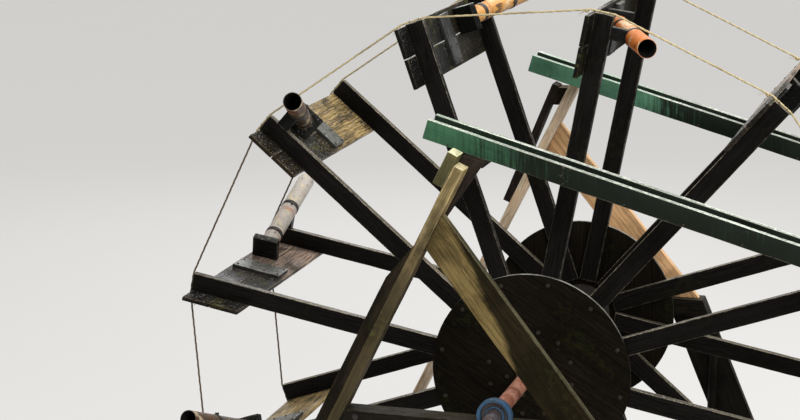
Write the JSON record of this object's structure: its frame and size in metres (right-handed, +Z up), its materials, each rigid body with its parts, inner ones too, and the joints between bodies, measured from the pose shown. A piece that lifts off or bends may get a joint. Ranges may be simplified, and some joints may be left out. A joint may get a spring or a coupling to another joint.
{
  "type": "water wheel",
  "caption": "Paddle water wheel with slanted lifting pipes that pour into two sloping troughs, on timber A-frames.",
  "frame": {"origin": "on the ground, at the middle of the whole part's box", "axes": "+X along the troughs, towards their low end; +Y along the axle, away from the picture's view; +Z up"},
  "size_m": [3.84, 2.854, 3.5473],
  "materials": {
    "wet_wood": "wet, algae-dark sawn wood",
    "timber": "weathered, mossy sawn timber",
    "dark_timber": "damp, dark weathered timber",
    "green_paint": "green painted boards, streaked",
    "pipe": "rust and lime scale",
    "rusty_steel": "rusted",
    "bare_steel": "worn bare steel",
    "dark_steel": "dark, stained steel",
    "blue_iron": "worn blue paint",
    "rope": "weathered twine"
  },
  "bodies": {
    "frame": {"leg_near": "timber", "leg_doubler_near": "timber", "leg_top_block": "timber", "strut_near": "dark_timber", "brace_near": "timber", "beam_near": "dark_timber", "lower_leg_near": "dark_timber", "trough_sides_near": "green_paint", "trough_floor_near": "green_paint", "base_rail_near": "dark_timber", "leg_far": "timber", "leg_doubler_far": "timber", "leg_wedge": "timber", "brace_far": "timber", "beam_far": "dark_timber", "lower_leg_far": "dark_timber", "trough_sides_far": "green_paint", "trough_floor_far": "green_paint", "base_rail_far": "dark_timber", "bearing_plates": "dark_steel", "bearings": "blue_iron", "stakes": "dark_timber", "trough_bearers": "dark_timber", "trough_props": "dark_timber", "cross_sills": "dark_timber"},
    "wheel": {"shaft_pipe": "rusty_steel", "shaft_bars": "bare_steel", "hub_flanges": "dark_steel", "hub_discs": "wet_wood", "arms_near": "wet_wood", "arms_far": "wet_wood", "paddle_boards_inner": "wet_wood", "paddle_boards_outer": "wet_wood", "paddle_battens": "wet_wood", "pipe_blocks": "wet_wood", "pipes_near": "pipe", "pipes_far": "pipe", "pipe_saddles": "wet_wood", "pipe_straps": "dark_steel", "rim_rope_near": "rope", "rim_rope_far": "rope"}
  },
  "joints": [
    {"name": "wheel_turn", "type": "hinge", "parent": "frame", "child": "wheel", "pos_m": [-0.09, 0, 1.8095], "axis": [0, 1, 0], "continuous": true}
  ]
}
